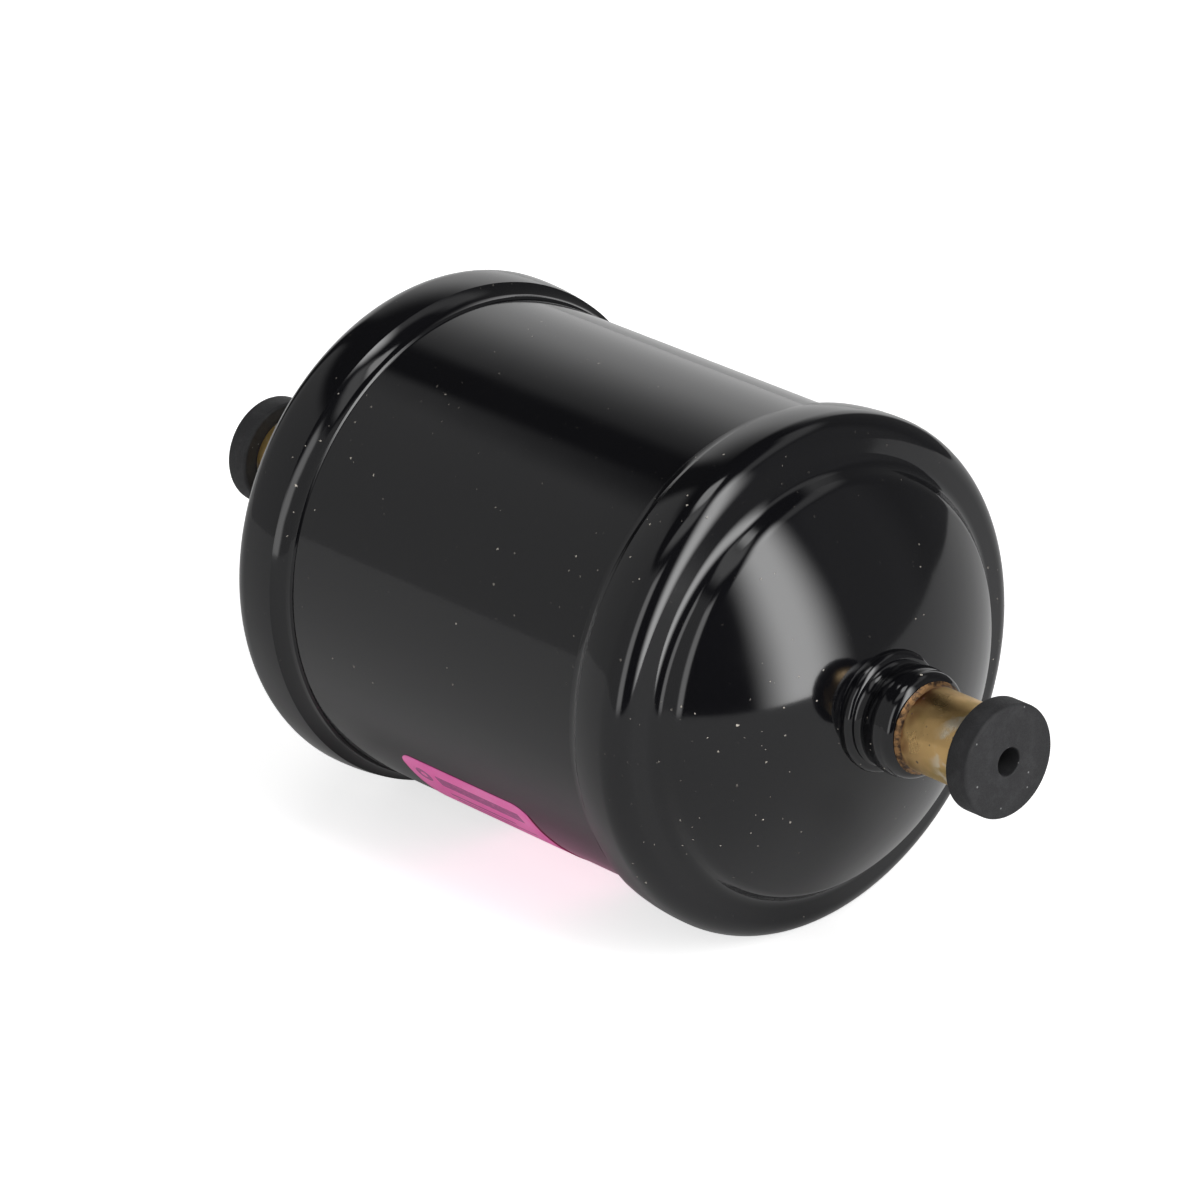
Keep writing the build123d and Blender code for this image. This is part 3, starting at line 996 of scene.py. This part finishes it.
@dataclass(frozen=True)
class Shell:
    """Barrel, pressed end caps and seam welds, all in millimetres."""

    barrel_radius: float = 33.1
    barrel_half: float = 35.8213  # half its length
    barrel_wall: float = 1.2
    corner: float = 37.5713  # where the skirt ends, before its shoulder is rolled
    skirt: float = 7.57
    sheet: float = 1.6
    slip: float = 0.02  # gap between skirt and barrel
    crown: float = 25.0  # radius along the skirt
    widest_inset: float = 3.37  # from the corner back to the widest ring
    roll: float = 3.4  # radius of the shoulder
    lean: float = math.radians(9.0)  # of the ledge's normal from the axis
    step: tuple = (38.47, 29.2)  # where the ledge meets the side
    side: float = math.radians(62.0)  # of the side's normal from the axis
    hollow_roll: float = 2.4  # radius between ledge and side
    knuckle: float = 4.0  # radius between side and dome
    dome: float = 44.4
    dome_centre: float = 6.4373
    hole: float = 6.3  # radius of the neck's hole
    seam_length: float = 2.75
    toe: float = 0.32  # height of the weld's toe
    toe_width: float = 0.9
    hollow: float = 5.0  # radius of the weld's flank

    @property
    def mouth(self) -> float:
        """Where the caps' mouths stand."""
        return self.corner - self.skirt

    @property
    def mouth_radius(self) -> float:
        """Outer radius at the mouth of a cap."""
        return self.barrel_radius + self.slip + self.sheet

    @property
    def cap_radius(self) -> float:
        """Radius of a cap's widest ring."""
        reach = self.skirt - self.widest_inset
        return self.mouth_radius + self.crown - math.sqrt(self.crown**2 - reach**2)

    def outline(self) -> list:
        """A cap's outer surface from its mouth in to the neck's hole.

        Returns:
            (along, radius, angle of the normal) of each point.
        """
        crown = (self.corner - self.widest_inset, self.cap_radius - self.crown)
        shoulder = nested(self.step, self.lean, crown, self.crown, self.roll, 1.0)
        meet = math.atan2(shoulder.y - crown[1], shoulder.x - crown[0])
        tip = Vector((math.cos(self.lean), math.sin(self.lean)))
        wall = Vector((math.cos(self.side), math.sin(self.side)))
        foot = Vector(self.step) + (tip + wall) * (self.hollow_roll / (1 + tip.dot(wall)))
        knuckle = nested(self.step, self.side, (self.dome_centre, 0.0), self.dome, self.knuckle, -1.0)
        edge = math.atan2(knuckle.y, knuckle.x - self.dome_centre)
        runs = (  # centre, radius, first and last angle, steps
            (crown, self.crown, math.acos((self.mouth - crown[0]) / self.crown), meet, 26),
            (shoulder, self.roll, meet, self.lean, 26),
            (foot, -self.hollow_roll, self.lean, self.side, 20),
            (knuckle, self.knuckle, self.side, edge, 20),
            ((self.dome_centre, 0.0), self.dome, edge, math.asin(self.hole / self.dome), 80),
        )
        return [(*polar(centre, radius, turn), turn) for centre, radius, start, end, steps in runs
                for turn in (start + (end - start) * step / steps for step in range(steps + 1))]

    def cap(self) -> Section:
        """The closed section of an end cap.

        Returns:
            The section.
        """
        lap, outline = self.barrel_radius + self.slip, self.outline()
        inside = [polar((x, r), -self.sheet, turn) for x, r, turn in outline]
        inside = [(x, r) for x, r in inside if r < lap and x > self.barrel_half]
        return Section().run(*((x, r) for x, r, _ in outline)).run(
            *reversed(inside), (inside[0][0], lap), (self.mouth, lap))

    def barrel(self) -> Section:
        """The closed section of the barrel.

        Returns:
            The section.
        """
        end, bore = self.barrel_half, self.barrel_radius - self.barrel_wall
        return Section().run((-end, self.barrel_radius)).divided((end, self.barrel_radius), 90).run(
            (end, bore), (-end, bore))

    def seam(self) -> Section:
        """The closed section of a seam weld.

        Returns:
            The section.
        """
        toe = self.mouth - self.seam_length
        top = self.barrel_radius + self.toe
        line = Section().rounded([(toe, self.barrel_radius, 0.0), (toe + self.toe / 2, top, self.toe / 3),
                                  (toe + self.toe_width, top, 0.0)])
        line.bow((self.mouth, self.mouth_radius), self.hollow, 12)
        return line.run((self.mouth, self.barrel_radius))

    def build(self, lathe: Lathe, finish: Material) -> None:
        """Turn the shell's pieces.

        Args:
            lathe: the lathe.
            finish: the coating.
        """
        barrel = lathe.turn("barrel_coated", self.barrel(), 1.0, finish, Turning(320, 0.02, 24.0, 3))
        settle(barrel, "drier", "barrel")
        for seed, end in enumerate(End, 5):
            cap = lathe.turn(f"{end.label}_cap_coated", self.cap(), end.side, finish,
                             Turning(320, 0.03, 16.0, seed))
            settle(cap, "drier", f"{end.label}_end_cap")
            seam = lathe.turn(f"{end.label}_seam_coated", self.seam(), end.side, finish,
                              Turning(320, 0.1, 5.0, seed, 1.0))
            settle(seam, "drier", f"{end.label}_seam_weld")


@dataclass(frozen=True)
class Neck:
    """Turned collar, weld bead, copper tube and braze of one end, in millimetres."""

    shoulder: float = 50.45  # where the collar stands on the cap
    spigot: float = 6.25  # radius inside the cap's hole
    reach: float = 1.9  # length of the spigot
    bulb: float = 7.1
    fullness: float = 4.2  # radius along the bulb
    waist: float = 6.7
    foot: float = 1.1  # length below the waist
    waist_length: float = 2.0
    bulb_length: float = 4.19
    nose_roll: float = 1.6
    root_radius: float = 5.4  # of the tube inside the collar
    root_gap: float = 0.03
    tube: float = 5.65
    tube_end: float = 68.21
    bore: float = 4.0
    socket: float = 4.8
    socket_depth: float = 9.0
    lead: float = 0.25  # chamfer at the socket's mouth
    chamfer: float = 0.3
    braze_length: float = 0.7
    braze_height: float = 0.5
    braze_hollow: float = 1.0
    bead: float = 1.0  # radius of the weld bead
    bead_rise: float = 0.3  # of its middle above the dome
    bead_sweep: tuple = (89.0, -61.0)  # degrees
    bead_steps: int = 60
    bead_lap: float = 0.05  # how far it runs into the collar

    @property
    def nose(self) -> float:
        """Where the collar's nose stands."""
        return self.shoulder + self.foot + self.waist_length + self.bulb_length

    def collar(self) -> Section:
        """The closed section of the collar.

        Returns:
            The section.
        """
        back, front, inner = self.shoulder - self.reach, self.shoulder, self.root_radius + self.root_gap
        start, tip = front + self.foot, self.nose - self.nose_roll
        depth = self.bulb - self.waist
        hollow = self.waist_length**2 / 8 / depth + depth / 2
        line = Section().run((back, inner), (back, self.spigot), (front, self.spigot), (front, self.bulb))
        line.divided((start, self.bulb), 6).bow((start + self.waist_length, self.bulb), hollow, 14)
        line.bow((tip, self.bulb), -self.fullness, 16)
        line.arc((tip, self.bulb - self.nose_roll), self.nose_roll, math.pi / 2, 0.0, 12)
        return line.run((self.nose, inner))

    def tube_section(self) -> Section:
        """The closed section of the copper connector.

        Returns:
            The section.
        """
        back, bare, root = self.shoulder - self.reach, self.nose + self.braze_length, self.root_radius
        end, seat = self.tube_end, self.tube_end - self.socket_depth
        line = Section().run((back, self.bore), (back, root), (bare, root), (bare, self.tube))
        line.divided((end - self.chamfer, self.tube), 40)
        return line.run((end, self.tube - self.chamfer), (end, self.socket + self.lead),
                        (end - self.lead, self.socket), (seat, self.socket), (seat, self.bore))

    def braze(self) -> Section:
        """The closed section of the braze fillet.

        Returns:
            The section.
        """
        bare = self.nose + self.braze_length
        line = Section().run((bare, self.tube), (bare, self.root_radius), (self.nose, self.root_radius),
                             (self.nose, self.tube + self.braze_height))
        return line.bow((bare, self.tube), self.braze_hollow, 8)

    def bead_section(self, shell: Shell) -> Section:
        """The closed section of the weld bead at the collar's foot.

        Args:
            shell: the shell that the bead sits on.

        Returns:
            The section.
        """
        def dome_at(radius: float) -> float:
            """Where the dome stands at this radius."""
            return shell.dome_centre + math.sqrt(shell.dome**2 - radius**2)

        centre, inner = (dome_at(self.bulb) + self.bead_rise, self.bulb), self.bulb - self.bead_lap
        first, last = self.bead_sweep
        line = Section()
        for step in range(self.bead_steps + 1):
            turn = math.radians(first + step * (last - first) / self.bead_steps)
            x, radius = polar(centre, self.bead, turn)
            if radius >= inner and x >= dome_at(radius):
                line.run((x, radius))
        outer = centre[1] + math.sqrt(self.bead**2 - self.bead_rise**2)
        line.points.insert(0, (dome_at(outer), outer))
        return line.run((dome_at(inner), inner))

    def build(self, end: End, lathe: Lathe, shell: Shell, finishes: Finishes) -> None:
        """Turn the pieces of one neck.

        Args:
            end: which end.
            lathe: the lathe.
            shell: the shell's sizes.
            finishes: the materials.
        """
        seed = 11 if end is End.OUTLET else 17
        pieces = (
            ("neck_collar", "collar_coated", self.collar(), finishes.enamel, Slot.SHELL,
             Turning(192, 0.06, 5.0, seed)),
            ("neck_weld", "bead_coated", self.bead_section(shell), finishes.enamel, Slot.SHELL,
             Turning(192, 0.16, 3.0, seed + 1)),
            ("connector", "tube_bare", self.tube_section(), finishes.copper, Slot.COPPER,
             Turning(160, 0.05, 3.0, seed + 2)),
            ("braze_ring", "braze_fillet", self.braze(), finishes.braze, Slot.BRAZE,
             Turning(128, 0.1, 1.4, seed + 3)),
        )
        for node, name, section, finish, slot, how in pieces:
            piece = lathe.turn(f"{end.label}_{name}", section, end.side, finish, how)
            settle(piece, "drier", f"{end.label}_{node}")


@dataclass(frozen=True)
class Stopper:
    """Rubber transport stopper, in millimetres."""

    start: float = 68.21  # where the flange meets the tube's end
    flange: float = 7.6
    thickness: float = 3.7
    round: float = 0.45
    stem_length: float = 7.5
    stem: float = 4.76  # radius over the ribs
    ribs: int = 2
    rib_width: float = 1.1
    rib_height: float = 0.45
    hole: float = 1.87
    hole_depth: float = 8.6
    hole_round: float = 0.18
    nose: float = 0.6  # chamfer at the tip

    def section(self) -> Section:
        """The closed section of a stopper.

        Returns:
            The section.
        """
        face, tip = self.start + self.thickness, self.start - self.stem_length
        slim = self.stem - self.rib_height
        deep = face - self.hole_depth
        line = Section().rounded([
            (deep, 0.0, 0.0), (deep, self.hole, 0.0), (face, self.hole, self.hole_round),
            (face, self.flange, self.round), (self.start, self.flange, self.round), (self.start, slim, 0.0)])
        for rib in reversed(range(self.ribs)):
            middle = tip + self.stem_length * (rib + 1) / (self.ribs + 1)
            ahead, back = middle + self.rib_width / 2, middle - self.rib_width / 2
            line.run((ahead, slim), (ahead, self.stem), (back, self.stem), (back, slim))
        return line.run((tip + self.nose, slim), (tip, slim - self.nose), (tip, 0.0))

    def build(self, end: End, lathe: Lathe, finish: Material) -> None:
        """Turn one stopper.

        Args:
            end: which end.
            lathe: the lathe.
            finish: the rubber.
        """
        seed = 23 if end is End.OUTLET else 29
        piece = lathe.turn(f"{end.label}_stopper_rubber", self.section(), end.side, finish,
                           Turning(160, 0.05, 4.0, seed))
        settle(piece, f"{end.label}_stopper", f"{end.label}_stopper")


@dataclass(frozen=True)
class Label:
    """Film round the underside of the barrel, in millimetres and degrees."""

    radius: float = 33.1
    width: float = 25.0
    shift: float = -0.3
    top: float = 213.0  # from +Y round through +Z
    wrap: float = 90.0
    thickness: float = 0.1
    corner: float = 2.5
    columns: int = 60
    rows: int = 150

    def build(self, finish: Material) -> None:
        """Lay the film.

        Args:
            finish: the printed film.
        """
        height = math.radians(self.wrap) * self.radius
        points, lies = [], []
        for row in range(self.rows + 1):
            down = height * (0.5 - 0.5 * math.cos(math.pi * row / self.rows))
            past = max(self.corner - min(down, height - down), 0.0)
            half = self.width / 2 - self.corner + math.sqrt(max(self.corner**2 - past**2, 0.0))
            turn = math.radians(self.top) + down / self.radius
            for column in range(self.columns + 1):
                across = half * math.sin((column / self.columns - 0.5) * math.pi)
                points.append(((self.shift + across) * MM, self.radius * MM * math.cos(turn),
                               self.radius * MM * math.sin(turn)))
                lies.append((across / UV_SPAN, down / UV_SPAN))
        step = self.columns + 1
        faces = [(a, a + 1, a + step + 1, a + step) for a in
                 (row * step + column for row in range(self.rows) for column in range(self.columns))]
        mesh = bpy.data.meshes.new("label_film_piece")
        mesh.from_pydata(points, [], faces)
        film = mesh.uv_layers.new(name="film")
        for loop in mesh.loops:
            film.data[loop.index].uv = lies[loop.vertex_index]
        mesh.materials.append(finish)
        mesh.shade_smooth()
        if mesh.polygons[len(faces) // 2].normal.dot(mesh.polygons[len(faces) // 2].center) < 0:
            mesh.flip_normals()
        piece = new_object("label_film_piece", mesh)
        wall = piece.modifiers.new("wall", "SOLIDIFY")
        wall.thickness, wall.offset = self.thickness * MM, 1.0
        settle(plain(piece), "drier", "label")


def dress_inside(finishes: Finishes) -> None:
    """Give the pieces inside the shell their materials.

    Args:
        finishes: the materials.
    """
    dressed = {"core_cup": finishes.steel, "pressure_plate": finishes.steel, "core_spring": finishes.spring,
               "strainer": finishes.cloth, "outlet_felt": finishes.felt, "inlet_felt": finishes.felt,
               "desiccant_core": finishes.desiccant}
    for node, finish in dressed.items():
        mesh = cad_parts[node].data
        mesh.materials.clear()
        mesh.materials.append(finish)
        LOG.info("%s dressed in %s", node, finish.name)


# ---- studio


@dataclass(frozen=True)
class Panel:
    """A soft light or a lit wall, placed by direction in degrees."""

    azimuth: float
    elevation: float
    half_width: float
    half_height: float
    level: float
    soft_side: float = 4.0
    soft_top: float = 4.0
    tilt: float = 0.0

    def sizes(self) -> dict:
        """Its sizes under the names of the light group's inputs, without its level."""
        return {name.replace("_", " ").title(): size for name, size in vars(self).items() if name != "level"}


@dataclass(frozen=True)
class Studio:
    """Floor, lit surroundings and camera, in millimetres."""

    dark: float = 0.03  # level of all the rest
    panels: tuple = (
        Panel(-120.0, 14.0, 58.0, 31.0, 0.44, 3.0, 3.0),  # pale wall on the left
        Panel(-52.0, 14.0, 9.0, 25.0, 2.6, 4.0, 4.0),  # narrow light beside the camera
        Panel(4.5, 20.0, 11.0, 40.0, 7.4, 9.0, 12.0, 8.0),  # tall soft light in front of the outlet
        Panel(40.0, 14.0, 20.0, 30.0, 0.2, 10.0, 8.0),  # its spill
        Panel(92.0, 24.0, 34.0, 28.0, 0.1, 10.0, 8.0),  # dim wall on the right
        Panel(45.0, 56.0, 50.0, 8.0, 0.6, 10.0, 5.0),  # ceiling's edge on the right
        Panel(-60.0, 62.0, 34.0, 9.0, 1.2, 8.0, 5.0),  # ceiling's edge on the left
        Panel(140.0, 0.0, 24.0, 36.0, 0.95, 4.0, 14.0),  # pale wall behind
        Panel(-95.0, 80.0, 60.0, 8.0, 4.0, 10.0, 3.0),  # light overhead
    )
    floor_height: float = -35.11
    floor_half: float = 4000.0
    floor_colour: tuple = (0.8, 0.8, 0.8, 1.0)
    front: tuple = (0.94, -0.34, 0.0)
    table: float = 215.0  # how far to the front the floor shows in the coating
    camera_lift: float = 0.7  # emission that brings the floor to white for the camera
    glossy_lift: float = 0.05  # emission that the coating sees on it
    turn: float = math.radians(48.0)  # the camera's angle from -Y towards +X
    rise: float = math.radians(22.6)
    away: float = 934.5
    aside: tuple = (2.63, 0.68)  # to its left and down
    lens: float = 213.3
    sensor: float = 36.0

    def panel_group(self) -> Tree:
        """The mask of one panel by direction.

        Returns:
            The group.
        """
        inputs = {"Direction": "Vector", **dict.fromkeys(self.panels[0].sizes(), 0.0)}
        tree, graph, given, out = new_group("light_panel", "Shader", inputs, "Mask", "Float")
        turned = graph.add("ShaderNodeVectorRotate", {
            "Vector": given["Direction"], "Angle": graph.times(given["Azimuth"], -math.pi / 180)},
            rotation_type="Z_AXIS")
        x, y, z = graph.axes(turned.outputs[0])
        across = graph.math("DEGREES", graph.math("ARCTAN2", y, x))
        up = graph.minus(graph.math("DEGREES", graph.math("ARCSINE", z)), given["Elevation"])
        tilt = graph.math("RADIANS", given["Tilt"])
        lean, stand = graph.math("SINE", tilt), graph.math("COSINE", tilt)
        wide = graph.plus(graph.times(across, stand), graph.times(up, lean))
        high = graph.minus(graph.times(up, stand), graph.times(across, lean))
        masks = []
        for value, half, soft in ((wide, "Half Width", "Soft Side"), (high, "Half Height", "Soft Top")):
            low = graph.minus(given[half], given[soft])
            top = graph.plus(given[half], given[soft])
            masks.append(graph.span(graph.math("ABSOLUTE", value), low, top, 1.0, 0.0))
        graph.wire(out, {"Mask": graph.times(*masks)})
        return tree

    def light(self) -> None:
        """Paint the surroundings as a plain studio."""
        world = bpy.data.worlds.new("studio")
        bpy.context.scene.world = world
        graph, group = cleared(world), self.panel_group()
        direction = graph.vector("NORMALIZE", graph.add("ShaderNodeTexCoord").outputs["Generated"])
        level = graph.fold("ADD", [
            graph.times(graph.pattern(group, Direction=direction, **panel.sizes()), panel.level)
            for panel in self.panels])
        seen = graph.plus(level, self.dark)
        camera = graph.add("ShaderNodeLightPath").outputs["Is Camera Ray"]
        strength = graph.add("ShaderNodeMix", {0: camera, 2: seen, 3: 1.0}, data_type="FLOAT").outputs[0]
        sky = graph.add("ShaderNodeBackground", {"Color": (1.0, 1.0, 1.0, 1.0), "Strength": strength})
        graph.add("ShaderNodeOutputWorld", {"Surface": sky.outputs[0]})

    def lay_floor(self) -> None:
        """Lay the plain pale floor under the drier."""
        half, z = self.floor_half * MM, self.floor_height * MM
        mesh = bpy.data.meshes.new("floor")
        corners = ((-half, -half, z), (half, -half, z), (half, half, z), (-half, half, z))
        mesh.from_pydata(corners, [], [(0, 1, 2, 3)])
        floor = new_object("floor", mesh)
        material = bpy.data.materials.new("pale_floor")
        graph = cleared(material)
        matt = graph.add("ShaderNodeBsdfDiffuse", {"Color": self.floor_colour})
        path = graph.add("ShaderNodeLightPath").outputs
        lift = graph.plus(graph.times(path["Is Camera Ray"], self.camera_lift),
                          graph.times(path["Is Glossy Ray"], self.glossy_lift))
        glow = graph.add("ShaderNodeEmission", {"Strength": lift})
        both = graph.add("ShaderNodeAddShader", {0: matt.outputs[0], 1: glow.outputs[0]})
        spot = graph.add("ShaderNodeVectorMath", {0: graph.add("ShaderNodeTexCoord").outputs["Object"],
                                                  1: self.front}, operation="DOT_PRODUCT").outputs["Value"]
        beyond = graph.times(path["Is Glossy Ray"], graph.math("GREATER_THAN", spot, self.table * MM))
        clear = graph.add("ShaderNodeBsdfTransparent")
        shown = graph.add("ShaderNodeMixShader", {0: beyond, 1: both.outputs[0], 2: clear.outputs[0]})
        graph.add("ShaderNodeOutputMaterial", {"Surface": shown.outputs[0]})
        mesh.materials.append(material)

    def place_camera(self) -> None:
        """Set the camera at its angle."""
        level = math.cos(self.rise)
        back = Vector((math.sin(self.turn) * level, -math.cos(self.turn) * level, math.sin(self.rise)))
        right = Vector((math.cos(self.turn), math.sin(self.turn), 0.0))
        up = back.cross(right)
        data = bpy.data.cameras.new("camera")
        data.lens, data.sensor_width = self.lens, self.sensor
        data.clip_start, data.clip_end = 0.05, 20.0
        camera = new_object("camera", data)
        camera.location = (back * self.away - right * self.aside[0] - up * self.aside[1]) * MM
        camera.rotation_mode = "QUATERNION"
        camera.rotation_quaternion = Matrix((right, up, back)).transposed().to_quaternion()
        bpy.context.scene.camera = camera


def main() -> None:
    """Build the studio, then every sub-assembly in order."""
    logging.basicConfig(level=logging.INFO, format="%(name)s: %(message)s")
    bpy.context.scene.view_settings.view_transform = "Standard"
    studio = Studio()
    studio.place_camera()
    studio.light()
    studio.lay_floor()
    finishes, lathe, shell = all_finishes(), Lathe(), Shell()
    shell.build(lathe, finishes.enamel)
    for end in End:
        Neck().build(end, lathe, shell, finishes)
        Stopper().build(end, lathe, finishes.rubber)
    Label().build(finishes.film)
    dress_inside(finishes)


if __name__ == "__main__":
    main()
